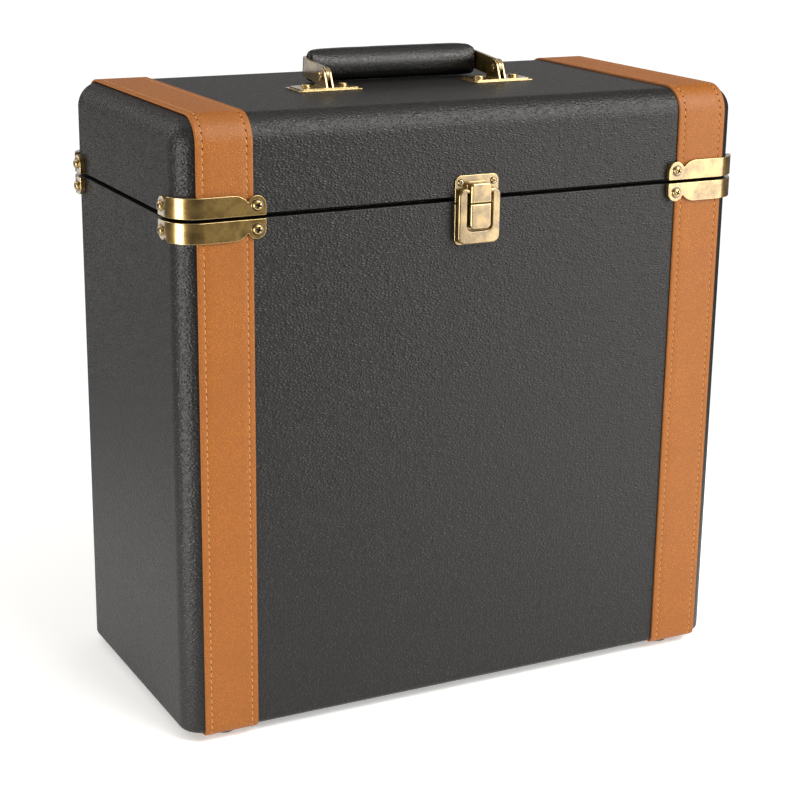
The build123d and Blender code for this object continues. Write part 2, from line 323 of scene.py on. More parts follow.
for node, body in (("body_covering", "case"), ("lid_covering", "lid")):
    skin = flattened(merged(node))
    put(f"{body}_leatherette", skin, [charcoal_vinyl], body, "covering", node, edge=covering_edge)

# The bands: two straps of tan leather glued right round the case over the covering and parted at
# the seam, each sewn with a row of stitches in a creased line near both edges, their edges waxed.
band_in, band_out = 135.0, 167.1
glue, band_s = 0.05, 1.25
row_in = 3.7
crease_s, crease_half = 0.28, 0.9
half_d = 86.5
top_r, under_r = 14.4, 3.3
seam, seam_open = 301.5, 1.2
floor_z, top_z = 6.0, 355.0

# Bonded leather, dyed tan and pressed with a fine grain: a warm, even satin. The grain is drawn
# coarser than it is, so that it shows.
tan_leather = grained(
    "tan bonded leather, fine grain", "#7e460a", "#b76f13", 1.5, 0.38, 0.11
)
# Its cut edge, sanded and waxed: paler than the face, and almost smooth.
waxed_edge = grained("cut leather edge, waxed", "#8a4a1c", "#c98a50", 0.5, 0.5, 0.03)


def arc(y, z, radius, start, end, steps):
    """Stations round a corner: the middle of the arc, its radius and which way is out."""
    angles = [radians(start + (end - start) * i / steps) for i in range(steps + 1)]
    return [(y, z, radius, cos(a), sin(a)) for a in angles]


inner_y = half_d - under_r
route_body = [(-inner_y, seam - seam_open, under_r, -1, 0)]
route_body += arc(-inner_y, floor_z + under_r, under_r, 180, 270, 6)
route_body += arc(inner_y, floor_z + under_r, under_r, 270, 360, 6)
route_body += [(inner_y, seam - seam_open, under_r, 1, 0)]
inner_y = half_d - top_r
route_lid = [(inner_y, seam + seam_open, top_r, 1, 0)]
route_lid += arc(inner_y, top_z - top_r, top_r, 0, 90, 12)
route_lid += arc(-inner_y, top_z - top_r, top_r, 90, 180, 12)
route_lid += [(-inner_y, seam + seam_open, top_r, -1, 0)]


def along(route, x, s):
    """The points of a line that runs round the case at x, this far out from the covering."""
    return [Vector((x, y + (r + s) * ny, z + (r + s) * nz)) * mm for y, z, r, ny, nz in route]


def profile(way):
    """The band's cut across its width: rounded edges and a crease under each row of stitches."""
    w = band_out - band_in
    half = [(0, glue), (0, 0.8), (0.12, 1.02), (0.32, 1.17), (0.6, band_s)]
    half += [(row_in - crease_half, band_s), (row_in - crease_half / 2, band_s - 0.1)]
    half += [(row_in, band_s - crease_s), (row_in + crease_half / 2, band_s - 0.1)]
    half += [(row_in + crease_half, band_s), (row_in + 4, band_s)]
    other = [(w - u, s) for u, s in reversed(half)]
    return [(way * (band_in + u), s) for u, s in half + other]


def strap_mesh(route, way):
    """The band's profile carried along its route and closed at both ends, its cut edges waxed."""
    made = bmesh.new()
    cut = profile(way)
    lines = [[made.verts.new(p) for p in along(route, x, s)] for x, s in cut]
    for i, line in enumerate(lines):
        other = lines[(i + 1) % len(lines)]
        for k in range(len(line) - 1):
            face = made.faces.new((line[k], line[k + 1], other[k + 1], other[k]))
            face.material_index = int(i in (0, len(lines) - 2))
    for k in (0, -1):
        made.faces.new([line[k] for line in lines]).material_index = 1
    bmesh.ops.recalc_face_normals(made, faces=made.faces)
    return made


for body, route, node in (("case", route_body, "body_band"), ("lid", route_lid, "lid_band")):
    for way, hand in ((-1, "left"), (1, "right")):
        name = f"{body}_strap_{hand}"
        finishes = [tan_leather, waxed_edge]
        put(name, strap_mesh(route, way), finishes, body, "band", f"{node}_{hand}")

# The stitches: waxed polyester thread, lock-stitched at about six to the inch, each one lying in
# the crease and diving at both ends into a needle hole, drawn as a flat dark dot of painted shade.
stitch_pitch = 4.05
stitch_length = 3.1
thread_width = 0.7
stitch_rise = 0.42
stitch_slant = 0.14
hole_width = 1.15
row_stop = 2.0

# Waxed polyester thread, twisted: a pale, slightly shiny dash, a little uneven in colour.
thread = grained("waxed polyester thread, twisted", "#a8713f", "#dcae7b", 0.35, 0.5, 0.03)
# Painted shade for a needle hole: a dark, matt brown dot.
needle_hole_shade = grained(
    "painted shade in a needle hole", "#1e0f06", "#3a1d0c", 0.4, 0.8, 0.02
)


def new_tree(name, sockets):
    """A geometry tree that takes a geometry and these named inputs, and gives a geometry."""
    tree = bpy.data.node_groups.new(name, "GeometryNodeTree")
    tree.interface.new_socket("Geometry", in_out="OUTPUT", socket_type="NodeSocketGeometry")
    tree.interface.new_socket("Geometry", in_out="INPUT", socket_type="NodeSocketGeometry")
    for label, kind in sockets.items():
        tree.interface.new_socket(label, in_out="INPUT", socket_type=f"NodeSocket{kind}")
    return tree, tree.nodes.new("NodeGroupInput"), tree.nodes.new("NodeGroupOutput")


def grown(thing, tree, values):
    """The plain mesh that a tree makes of an object, with the tree's inputs set by name."""
    modifier = thing.modifiers.new(tree.name, "NODES")
    modifier.node_group = tree
    for item in tree.interface.items_tree:
        if item.in_out == "INPUT" and item.name in values:
            modifier[item.identifier] = values[item.name]
    bpy.context.view_layer.update()
    graph = bpy.context.evaluated_depsgraph_get()
    return bpy.data.meshes.new_from_object(thing.evaluated_get(graph))


sewing, given, result = new_tree(
    "stitch rows",
    {
        "Pitch": "Float",
        "Length": "Float",
        "Thread": "Float",
        "Rise": "Float",
        "Hole": "Float",
        "Slant": "Float",
        "Seed": "Int",
        "Finish": "Material",
        "Hole shade": "Material",
    },
)
spots = add(
    sewing,
    "GeometryNodeResampleCurve",
    {"Curve": given.outputs["Geometry"], "Length": given.outputs["Pitch"]},
    mode="LENGTH",
)
# One stitch: a thread that bows up out of the crease and dives under the leather at both ends.
half = add(sewing, "ShaderNodeMath", {0: given.outputs["Length"], 1: 0.5}, operation="MULTIPLY")
back = add(sewing, "ShaderNodeMath", {0: half.outputs[0], 1: -1.0}, operation="MULTIPLY")
sunk = add(sewing, "ShaderNodeMath", {0: given.outputs["Rise"], 1: -0.9}, operation="MULTIPLY")
crown = add(sewing, "ShaderNodeMath", {0: given.outputs["Rise"], 1: 1.4}, operation="MULTIPLY")
first = add(sewing, "ShaderNodeCombineXYZ", {"X": back.outputs[0], "Z": sunk.outputs[0]})
middle = add(sewing, "ShaderNodeCombineXYZ", {"Z": crown.outputs[0]})
last = add(sewing, "ShaderNodeCombineXYZ", {"X": half.outputs[0], "Z": sunk.outputs[0]})
bow = add(
    sewing,
    "GeometryNodeCurveQuadraticBezier",
    {
        "Resolution": 5,
        "Start": first.outputs[0],
        "Middle": middle.outputs[0],
        "End": last.outputs[0],
    },
)
thick = add(sewing, "ShaderNodeMath", {0: given.outputs["Thread"], 1: 0.5}, operation="MULTIPLY")
thread_cut = add(
    sewing, "GeometryNodeCurvePrimitiveCircle", {"Resolution": 6, "Radius": thick.outputs[0]}
)
stitch = add(
    sewing,
    "GeometryNodeCurveToMesh",
    {"Curve": bow.outputs[0], "Profile Curve": thread_cut.outputs[0], "Fill Caps": True},
)
dyed = add(
    sewing,
    "GeometryNodeSetMaterial",
    {"Geometry": stitch.outputs[0], "Material": given.outputs["Finish"]},
)
# The needle hole halfway to the next stitch: a flat dark dot of painted shade.
step = add(sewing, "ShaderNodeMath", {0: given.outputs["Pitch"], 1: 0.5}, operation="MULTIPLY")
beside = add(sewing, "ShaderNodeCombineXYZ", {"X": step.outputs[0]})
wide = add(sewing, "ShaderNodeMath", {0: given.outputs["Hole"], 1: 0.5}, operation="MULTIPLY")
dot = add(
    sewing, "GeometryNodeMeshUVSphere", {"Segments": 8, "Rings": 4, "Radius": wide.outputs[0]}
)
pressed = add(
    sewing,
    "GeometryNodeTransform",
    {"Geometry": dot.outputs[0], "Translation": beside.outputs[0], "Scale": (1, 0.8, 0.18)},
)
dark = add(
    sewing,
    "GeometryNodeSetMaterial",
    {"Geometry": pressed.outputs[0], "Material": given.outputs["Hole shade"]},
)
one = add(sewing, "GeometryNodeJoinGeometry", {0: dyed.outputs[0]})
sewing.links.new(dark.outputs[0], one.inputs[0])
# Each stitch lies along its row with its crown outwards, slanted, and wanders a little.
heading = add(sewing, "GeometryNodeInputTangent").outputs[0]
outward = add(sewing, "ShaderNodeVectorMath", {0: heading, 1: (1, 0, 0)}, operation="CROSS_PRODUCT")
lie = add(sewing, "FunctionNodeAlignRotationToVector", {"Vector": heading}, axis="X")
stand = add(
    sewing,
    "FunctionNodeAlignRotationToVector",
    {"Rotation": lie.outputs[0], "Vector": outward.outputs[0]},
    axis="Z",
    pivot_axis="X",
)
wander = add(
    sewing,
    "FunctionNodeRandomValue",
    {2: -0.05, 3: 0.05, "Seed": given.outputs["Seed"]},
    data_type="FLOAT",
)
slanted = add(sewing, "ShaderNodeMath", {0: wander.outputs[1], 1: given.outputs["Slant"]})
swing = add(
    sewing, "FunctionNodeAxisAngleToRotation", {"Axis": (0, 0, 1), "Angle": slanted.outputs[0]}
)
turned = add(
    sewing,
    "FunctionNodeRotateRotation",
    {"Rotation": stand.outputs[0], "Rotate By": swing.outputs[0]},
    rotation_space="LOCAL",
)
sewn = add(
    sewing,
    "GeometryNodeInstanceOnPoints",
    {"Points": spots.outputs[0], "Instance": one.outputs[0], "Rotation": turned.outputs[0]},
)
whole = add(sewing, "GeometryNodeRealizeInstances", {0: sewn.outputs[0]})
sewing.links.new(whole.outputs[0], result.inputs[0])


def stitched(name, lines, finish):
    """Rows of stitches along these lines of points, as one plain mesh."""
    rows = bpy.data.curves.new(name, "CURVE")
    rows.dimensions = "3D"
    for line in lines:
        spline = rows.splines.new("POLY")
        spline.points.add(len(line) - 1)
        for spot, point in zip(spline.points, line):
            spot.co = (*point, 1)
    drawn = bpy.data.objects.new(name, rows)
    scene.collection.objects.link(drawn)
    values = {
        "Pitch": stitch_pitch * mm,
        "Length": stitch_length * mm,
        "Thread": thread_width * mm,
        "Rise": stitch_rise * mm,
        "Hole": hole_width * mm,
        "Slant": stitch_slant,
        "Seed": 7,
        "Finish": finish,
        "Hole shade": needle_hole_shade,
    }
    mesh = grown(drawn, sewing, values)
    bpy.data.objects.remove(drawn)
    mesh.shade_smooth()
    thing = bpy.data.objects.new(name, mesh)
    scene.collection.objects.link(thing)
    return thing


for body, route in (("case", route_body), ("lid", route_lid)):
    lines = []
    for x in (-band_out + row_in, -band_in - row_in, band_in + row_in, band_out - row_in):
        line = along(route, x, band_s - crease_s)
        # The row runs out a little short of the band's cut ends.
        for end in (0, -1):
            line[end].z += (row_stop if body == "lid" else -row_stop) * mm
        lines.append(line)
    rows = stitched(f"{body}_stitching", lines, thread)
    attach(rows, body)

# The boards: poplar plywood, glued up into a box and a lid under the covering, and stained
# black where it shows inside the mouth of the lid. The stain dries matt, over a shallow open grain.
stained_board = grained("poplar board, stained black", "#0d0c0b", "#1d1b19", 2.2, 0.62, 0.05)
for node, body in (("body_carcass", "case"), ("lid_carcass", "lid")):
    put(f"{body}_boards", flattened(merged(node)), [stained_board], body, "board", node)

# The turned-in covering: a strip of the leatherette glued up inside the mouth of the lid, over the
# bare board, as far as the lining.
mouth_x, mouth_y = 169.6, 78.6
turn_low, turn_high = 302.8, 309.75
turn_t = 0.2

strip = bmesh.new()
loops = []
for inset, z in ((0, turn_low), (turn_t, turn_low), (turn_t, turn_high), (0, turn_high)):
    corners = [(-1, -1), (1, -1), (1, 1), (-1, 1)]
    spots = [((mouth_x - inset) * a, (mouth_y - inset) * b, z) for a, b in corners]
    loops.append([strip.verts.new(Vector(spot) * mm) for spot in spots])
for k, loop in enumerate(loops):
    other = loops[(k + 1) % 4]
    for i in range(4):
        j = (i + 1) % 4
        strip.faces.new((loop[i], loop[j], other[j], other[i]))
bmesh.ops.recalc_face_normals(strip, faces=strip.faces)
put("lid_turned_in_edge", strip, [charcoal_vinyl], "lid", "covering")

# The lining: black flocked paper glued inside both halves, and the lip, a board frame covered in
# the same flock, that the lid closes over.
pile_mm = 0.625
brushed_mm = 125 / 3

# Nylon flock, blown upright on glued paper: a deep matt black with soft paler patches where it has
# been brushed over. The pile is drawn coarser than it is, so that it shows.
flock = bpy.data.materials.new("black nylon flock on paper")
flock.use_nodes = True
tree = flock.node_tree
place = add(tree, "ShaderNodeTexCoord").outputs["Object"]
pile = add(tree, "ShaderNodeTexNoise", {"Vector": place, "Scale": 1000 / pile_mm, "Detail": 3})
brushed = add(
    tree, "ShaderNodeTexNoise", {"Vector": place, "Scale": 1000 / brushed_mm, "Detail": 4}
)
mixed = add(
    tree,
    "ShaderNodeMix",
    {0: brushed.outputs["Fac"], 6: linear("#100f10"), 7: linear("#2b292b")},
    data_type="RGBA",
)
nap = add(
    tree, "ShaderNodeBump", {"Height": pile.outputs["Fac"], "Strength": 0.8, "Distance": 0.2 * mm}
)
shader = tree.nodes["Principled BSDF"]
tree.links.new(mixed.outputs[2], shader.inputs["Base Color"])
tree.links.new(nap.outputs[0], shader.inputs["Normal"])
shader.inputs["Roughness"].default_value = 0.95
shader.inputs["Sheen Weight"].default_value = 0.35
shader.inputs["Sheen Roughness"].default_value = 0.4
shader.inputs["Specular IOR Level"].default_value = 0.2
for node, body, slot in (
    ("body_lining", "case", "lining"),
    ("lid_lining", "lid", "lining"),
    ("body_rim_lip", "case", "lip"),
):
    put(f"{node}_flock", flattened(merged(node)), [flock], body, slot, node, edge=0.5)

# The corner brackets: eight brass-plated steel stampings, antiqued and rubbed bright on their
# edges, which also carry a painted highlight, each wrapped round a corner at the seam and held by
# two cross-headed screws.
brass_dark = "#5a4419"
brass_mid = "#927640"
brass_bright = "#b0995e"
cloud_mm, speck_mm = 20 / 3, 2 / 3


def plated(name, dark, mid, bright, dull):
    """Plated metal: a darker bloom in clouds, with bright specks, under a thin clear lacquer."""
    finish = bpy.data.materials.new(name)
    finish.use_nodes = True
    tree = finish.node_tree
    place = add(tree, "ShaderNodeTexCoord").outputs["Object"]
    clouds = add(
        tree, "ShaderNodeTexNoise", {"Vector": place, "Scale": 1000 / cloud_mm, "Detail": 6}
    )
    specks = add(
        tree, "ShaderNodeTexNoise", {"Vector": place, "Scale": 1000 / speck_mm, "Detail": 2}
    )
    patina = add(
        tree,
        "ShaderNodeMapRange",
        {"Value": clouds.outputs["Fac"], "From Min": 0.3, "From Max": 0.7},
        interpolation_type="SMOOTHSTEP",
    ).outputs["Result"]
    ground = add(
        tree,
        "ShaderNodeMix",
        {0: patina, 6: linear(dark), 7: linear(mid)},
        data_type="RGBA",
    ).outputs[2]
    worn = add(
        tree,
        "ShaderNodeMapRange",
        {"Value": specks.outputs["Fac"], "From Min": 0.4, "From Max": 0.8, "To Max": 0.3},
    ).outputs["Result"]
    colour = add(
        tree, "ShaderNodeMix", {0: worn, 6: ground, 7: linear(bright)}, data_type="RGBA"
    ).outputs[2]
    rough = add(
        tree,
        "ShaderNodeMapRange",
        {"Value": clouds.outputs["Fac"], "To Min": dull + 0.12, "To Max": dull - 0.06},
    ).outputs["Result"]
    bump = add(
        tree,
        "ShaderNodeBump",
        {"Height": clouds.outputs["Fac"], "Strength": 0.3, "Distance": 0.08 * mm},
    )
    shader = tree.nodes["Principled BSDF"]
    shader.inputs["Metallic"].default_value = 0.88
    shader.inputs["Coat Weight"].default_value = 1
    shader.inputs["Coat Roughness"].default_value = 0.12
    shader.inputs["Coat IOR"].default_value = 1.65
    tree.links.new(colour, shader.inputs["Base Color"])
    tree.links.new(rough, shader.inputs["Roughness"])
    tree.links.new(bump.outputs[0], shader.inputs["Normal"])
    return finish


# Brass plate, antiqued and lacquered: an olive gold, clouded brown, with a soft shine.
antique_brass = plated(
    "brass plate, antiqued and lacquered", brass_dark, brass_mid, brass_bright, 0.28
)
# The same plate on the eased edges, where the patina has been rubbed off and a highlight is painted
# in: pale gold lines.
rubbed_and_highlit_brass = plated("brass plate, rubbed bright, painted highlight", brass_bright, "#b99d63", "#d6bd8a", 0.24)
# Screws and pins, plated and tumbled in bulk: brighter and more even than the stampings.
tumbled_brass = plated("brass screw, tumbled", brass_mid, "#a58747", "#cbb07a", 0.26)
brass = [antique_brass, rubbed_and_highlit_brass]

half_w = 177.5
bracket_s = 3.0
screw_r, screw_h = 3.4, 1.8
leg_screw = (133.7, half_d + bracket_s)
side_screw = (half_w + bracket_s, 70.7)
ear_up = 6.5
head_sunk, head_gap = 0.5, 0.02
head_angle = radians(40)
plate_edge = 0.28


def headless(made, seats, radius):
    """The mesh with the plain screw heads at these seats cut off and the plate closed there."""
    for spot, out in seats:
        head = []
        for face in made.faces:
            reach = [v.co - Vector(spot) * mm for v in face.verts]
            near = all((p - p.dot(out) * out).length < (radius + head_gap) * mm for p in reach)
            proud = all(p.dot(out) > -head_sunk * mm for p in reach)
            if near and proud:
                head.append(face)
        bmesh.ops.delete(made, geom=head, context="FACES")
    open_edges = [e for e in made.edges if e.is_boundary]
    bmesh.ops.holes_fill(made, edges=open_edges)
    return made


def lathed(made, rings, around=24):
    """Turns rings of (radius, height) about Z into walls, and closes the first; gives the rows."""
    turns = [2 * pi * i / around for i in range(around)]
    rows = [[made.verts.new((r * cos(a), r * sin(a), z)) for a in turns] for r, z in rings]
    for low, high in zip(rows, rows[1:]):
        for i in range(around):
            k = (i + 1) % around
            made.faces.new((low[i], low[k], high[k], high[i]))
    made.faces.new(list(reversed(rows[0])))
    return rows


def cross_head(name, flange, dome, height, arm, slot_w, depth):
    """A screw head on Z: a thin flange, a round dome with a flat top and a cross cut into it."""
    made = bmesh.new()
    rings = [(flange * 0.98, -0.25), (flange, 0.12), (flange * 0.97, 0.28), (dome, 0.34)]
    rings += [(dome * 0.97, height * 0.55), (dome * 0.9, height * 0.78)]
    rings += [(dome * 0.76, height * 0.93), (dome * 0.62, height)]
    rows = lathed(made, rings)
    # The step up from the flange to the dome, like the cross below, takes a near-black painted
    # shade.
    for vert in rows[3]:
        for face in vert.link_faces:
            face.material_index = int(all(v in rows[2] + rows[3] for v in face.verts))
    quarter = [(arm, -slot_w), (arm, slot_w), (slot_w, slot_w)]
    outline = [Matrix.Rotation(pi / 2 * q, 2) @ Vector(p) for q in range(4) for p in quarter]
    lip = [made.verts.new((*p, height)) for p in outline]
    foot = [made.verts.new((*(p * 0.55), height - depth)) for p in outline]
    cross = []
    for i in range(len(lip)):
        k = (i + 1) % len(lip)
        cross.append(made.faces.new((lip[i], lip[k], foot[k], foot[i])))
    cross.append(made.faces.new(foot))
    for face in cross:
        face.material_index = 1
    bmesh.ops.triangle_fill(
        made, edges=[e for e in made.edges if e.is_boundary], use_beauty=True, use_dissolve=False
    )
    bmesh.ops.recalc_face_normals(made, faces=made.faces)
    bmesh.ops.scale(made, vec=(mm, mm, mm), verts=made.verts)
    mesh = bpy.data.meshes.new(name)
    made.to_mesh(mesh)
    made.free()
    mesh.shade_smooth()
    mesh.set_sharp_from_angle(angle=head_angle)
    recess = mesh.attributes.new("recess", "BOOLEAN", "FACE")
    for face, mark in zip(mesh.polygons, recess.data):
        mark.value = face.material_index == 1
    return bpy.data.objects.new(name, mesh)


pan_head = cross_head("pan_head", screw_r, 2.75, screw_h, 1.95, 0.5, 1.2)
# Painted shade in a screw's cross and in the step under its dome: near black, and dull.
screw_head_shade = plated("painted shade in a screw's cross and step", "#0c0a06", "#1a150b", "#241d10", 0.6)

driving, given, result = new_tree(
    "driven screws",
    {"Head": "Object", "Seed": "Int", "Finish": "Material", "Painted shade": "Material"},
)
# Each head stands along its seat's own direction, and stops at its own turn.
facing = add(
    driving, "GeometryNodeInputNamedAttribute", {"Name": "out"}, data_type="FLOAT_VECTOR"
).outputs[0]
lie = add(driving, "FunctionNodeAlignRotationToVector", {"Vector": facing}, axis="Z")
stop = add(
    driving,
    "FunctionNodeRandomValue",
    {2: 0.0, 3: pi, "Seed": given.outputs["Seed"]},
    data_type="FLOAT",
)
spin = add(
    driving, "FunctionNodeAxisAngleToRotation", {"Axis": (0, 0, 1), "Angle": stop.outputs[1]}
)
turned = add(
    driving,
    "FunctionNodeRotateRotation",
    {"Rotation": lie.outputs[0], "Rotate By": spin.outputs[0]},
    rotation_space="LOCAL",
)
head = add(driving, "GeometryNodeObjectInfo", {"Object": given.outputs["Head"]})
driven = add(
    driving,
    "GeometryNodeInstanceOnPoints",
    {
        "Points": given.outputs["Geometry"],
        "Instance": head.outputs["Geometry"],
        "Rotation": turned.outputs[0],
    },
)
whole = add(driving, "GeometryNodeRealizeInstances", {0: driven.outputs[0]})
coated = add(
    driving,
    "GeometryNodeSetMaterial",
    {"Geometry": whole.outputs[0], "Material": given.outputs["Finish"]},
)
# The faces marked as the recess, the cross and the step, get the painted shade.
sunk = add(driving, "GeometryNodeInputNamedAttribute", {"Name": "recess"}, data_type="BOOLEAN")
marked = [o for o in sunk.outputs if o.enabled and o.name == "Attribute"][0]
with_painted_shade = add(
    driving,
    "GeometryNodeSetMaterial",
    {"Geometry": coated.outputs[0], "Selection": marked, "Material": given.outputs["Painted shade"]},
)
driving.links.new(with_painted_shade.outputs[0], result.inputs[0])


def screws(name, head, seats, finish, body, seed):
    """Screws of one kind on one body: one at each seat, which is a place and the way it faces."""
    mesh = bpy.data.meshes.new(name)
    mesh.from_pydata([Vector(spot) * mm for spot, out in seats], [], [])
    facings = mesh.attributes.new("out", "FLOAT_VECTOR", "POINT")
    for (spot, out), facing in zip(seats, facings.data):
        facing.vector = out
    seated = bpy.data.objects.new(f"{name}_seats", mesh)
    scene.collection.objects.link(seated)
    values = {"Head": head, "Seed": seed, "Finish": finish, "Painted shade": screw_head_shade}
    thing = bpy.data.objects.new(name, grown(seated, driving, values))
    bpy.data.objects.remove(seated)
    scene.collection.objects.link(thing)
    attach(thing, body)


for body, part, up in (("case", "body", -1), ("lid", "lid", 1)):
    all_seats = []
    for way_x, hand in ((-1, "left"), (1, "right")):
        for way_y, end in ((-1, "front"), (1, "rear")):
            height = seam + up * ear_up
            on_leg = (way_x * leg_screw[0], way_y * leg_screw[1], height)
            on_side = (way_x * side_screw[0], way_y * side_screw[1], height)
            seats = [(on_leg, Vector((0, way_y, 0))), (on_side, Vector((way_x, 0, 0)))]
            node = f"{part}_corner_{end}_{hand}"
            plate = flattened(headless(merged(node), seats, screw_r))
            put(f"{node}_plate", plate, brass, body, "brass_plate", node, edge=plate_edge, rim=1)
            all_seats += seats
    screws(f"{body}_corner_screws", pan_head, all_seats, tumbled_brass, body, 3)

# The hasp: a stamped plate on each half, a drawn block split at the seam, and the pressed ring that
# hangs from a bar in the upper block and snaps over the lower one. The bar is let into the ring's
# two arms, and the ring's front edges are rounded over.
latch_plate_s = 1.0
latch_screw_x, lid_screw_up, catch_screw_up = 10.4, 9.3, -16.0
small_r = 2.2
small_head = cross_head("small_head", small_r, 1.7, 0.75, 1.25, 0.36, 0.6)
for node, body, up in (
    ("latch_lid_plate", "lid", lid_screw_up),
    ("latch_catch_plate", "case", catch_screw_up),
):
    spots = [(x, -half_d - latch_plate_s, seam + up) for x in (-latch_screw_x, latch_screw_x)]
    seats = [(spot, Vector((0, -1, 0))) for spot in spots]
    plate = flattened(headless(merged(node), seats, small_r))
    put(f"{node}_piece", plate, brass, body, "brass_plate", node, edge=0.26, steps=3, rim=1)
    screws(f"{node}_screws", small_head, seats, tumbled_brass, body, 5)

ring_back, ring_front = half_d + 2.0, half_d + 5.0
ring_half, ring_low, ring_top, ring_turn = 13.25, seam - 25.3, seam + 6.1, 4.4
opening_half, opening_low, opening_turn = 7.75, seam - 17.9, 3.3
ring_round, ring_back_round, ring_edge = 1.0, 0.3, 0.02
bar_s, bar_up, bar_r = 3.9, 4.65, 1.38
bar_half, bar_ease, bar_end_r = 9.3, 0.5, 0.9


def bend(x, z, radius, start, end, steps=9):
    """Points on the front of the case round a corner, in degrees from the right."""
    angles = [radians(start + (end - start) * i / steps) for i in range(steps + 1)]
    return [(x + radius * cos(a), z + radius * sin(a)) for a in angles]


side, upper, lower = ring_half - ring_turn, ring_top - ring_turn, ring_low + ring_turn
outline = [(-opening_half, ring_top)]
outline += bend(-side, upper, ring_turn, 90, 180) + bend(-side, lower, ring_turn, 180, 270)
outline += bend(side, lower, ring_turn, 270, 360) + bend(side, upper, ring_turn, 0, 90)
outline += [(opening_half, ring_top)]
inside, inner_low = opening_half - opening_turn, opening_low + opening_turn
outline += bend(inside, inner_low, opening_turn, 0, -90)
outline += bend(-inside, inner_low, opening_turn, -90, -180)
ring = bmesh.new()
front_row = [ring.verts.new(Vector((x, -ring_front, z)) * mm) for x, z in outline]
back_row = [ring.verts.new(Vector((x, -ring_back, z)) * mm) for x, z in outline]
ring.faces.new(front_row)
ring.faces.new(list(reversed(back_row)))
for i, front_vert in enumerate(front_row):
    ring.faces.new((front_row[i - 1], back_row[i - 1], back_row[i], front_vert))
ring.normal_update()
front_edges = [e for e in ring.edges if all(v in front_row for v in e.verts)]
back_edges = [e for e in ring.edges if all(v in back_row for v in e.verts)]
for edges, width, steps in ((front_edges, ring_round, 5), (back_edges, ring_back_round, 2)):
    bmesh.ops.bevel(
        ring, geom=edges, offset=width * mm, segments=steps, profile=0.5, affect="EDGES"
    )
ends = [(bar_end_r, bar_half), (bar_r, bar_half - bar_ease)]
bar = lathed(ring, [(r, -z) for r, z in ends] + list(reversed(ends)))
ring.faces.new(bar[-1])
aim = Matrix.Translation(Vector((0, -half_d - bar_s, seam + bar_up)) * mm)
aim = aim @ Matrix.Rotation(pi / 2, 4, "Y") @ Matrix.Scale(mm, 4)
bmesh.ops.transform(ring, matrix=aim, verts=[vert for row in bar for vert in row])
put("hasp_ring", ring, brass, "latch_hasp", "brass_plate", "latch_ring", edge=ring_edge)

# The hinges: two butt hinges on the back, leaves and knuckles rolled from the same brass-plated
# steel and turning on a plated pin. Each leaf is held by two screws of the brackets' kind.
hinge_x, leaf_s = 95.0, 1.2
leaf_screw_x, leaf_screw_up = 12.0, 15.5

for way, hand in ((-1, "left"), (1, "right")):
    for part, body, up in (("body", "case", -1), ("lid", "lid", 1)):
        node = f"hinge_{part}_leaf_{hand}"
        places = (way * hinge_x - leaf_screw_x, way * hinge_x + leaf_screw_x)
        spots = [(x, half_d + leaf_s, seam + up * leaf_screw_up) for x in places]
        seats = [(spot, Vector((0, 1, 0))) for spot in spots]
        leaf = headless(merged(node), seats, screw_r)
        leaf = flattened(leaf, across=(0, 0, 1), at=(0, 0, seam))
        put(f"{node}_piece", leaf, brass, body, "brass_plate", node, edge=0.2, rim=1)
        screws(f"{node}_screws", pan_head, seats, tumbled_brass, body, 9)
    node = f"hinge_pin_{hand}"
    pin = flattened(merged(node))
    put(f"{node}_piece", pin, brass, "case", "brass_fixings", node, edge=0.2, rim=1)

# The handle's fittings: two stepped base plates with a pair of tabs, the riveted pins and the flat
# strap bent to a U that they hold, all of brass-plated steel. The pins' heads are domed and their
# tails set flat.
base_x, base_y, base_t = 56.7, -7.0, 1.6
base_screw_x = 11.6
pivot_z = top_z + 7.2
rivet_cut = [(1.2, -3.2), (1.9, -3.1), (2.2, -2.8), (2.2, -2.41), (1.45, -2.4), (1.45, 2.4)]
rivet_cut += [(2.9, 2.41), (2.88, 2.75), (2.6, 3.2), (2.0, 3.58), (1.0, 3.78)]

for way, hand in ((-1, "left"), (1, "right")):
    node = f"handle_base_{hand}"
    places = (way * base_x - base_screw_x, way * base_x + base_screw_x)
    seats = [((x, base_y, top_z + base_t), Vector((0, 0, 1))) for x in places]
    base = headless(merged(node), seats, screw_r)
    base = flattened(base, across=(0, 1, 0), at=(0, base_y, 0))
    put(f"{node}_piece", base, brass, "lid", "brass_plate", node, edge=0.2, rim=1)
    screws(f"{node}_screws", pan_head, seats, tumbled_brass, "lid", 13)
    rivet = bmesh.new()
    rivet.faces.new(lathed(rivet, rivet_cut)[-1])
    aim = Matrix.Translation(Vector((way * base_x, base_y, pivot_z)) * mm)
    aim = aim @ Matrix.Rotation(way * pi / 2, 4, "Y") @ Matrix.Scale(mm, 4)
    bmesh.ops.transform(rivet, matrix=aim, verts=rivet.verts)
    node = f"handle_rivet_{hand}"
    put(f"{node}_piece", rivet, [tumbled_brass], "lid", "brass_fixings", node)
node = "handle_strap"
strap = flattened(merged(node))
put(f"{node}_piece", strap, brass, "handle", "brass_plate", node, edge=0.22, rim=1)

# The grip: a foam core closed in black leatherette that is drawn tight round the strap's cross
# piece. Both back corners are round, small pleats gather at its ends and the seam runs underneath.
grip_half, grip_deep, grip_high, grip_y = 55.3, 10.3, 9.25, 32.0
grip_back, grip_front, grip_end = 16.0, 2.0, 3.0
round_over, round_under = 2.2, 3.6
stations, around = 22, 32
grip_voxel = 1.4
cloth_frames, grip_swell = 20, 0.35
pleats, pleat, pleat_from, pleat_run = 13, 0.35, 44, 11
hollow, hollow_mm = 0.25, 11
seam_in, seam_half, seam_below = 0.75, 1.3, -6
seam_reach, seam_rise = 43, 0.85
rest_tilt = radians(5.128)

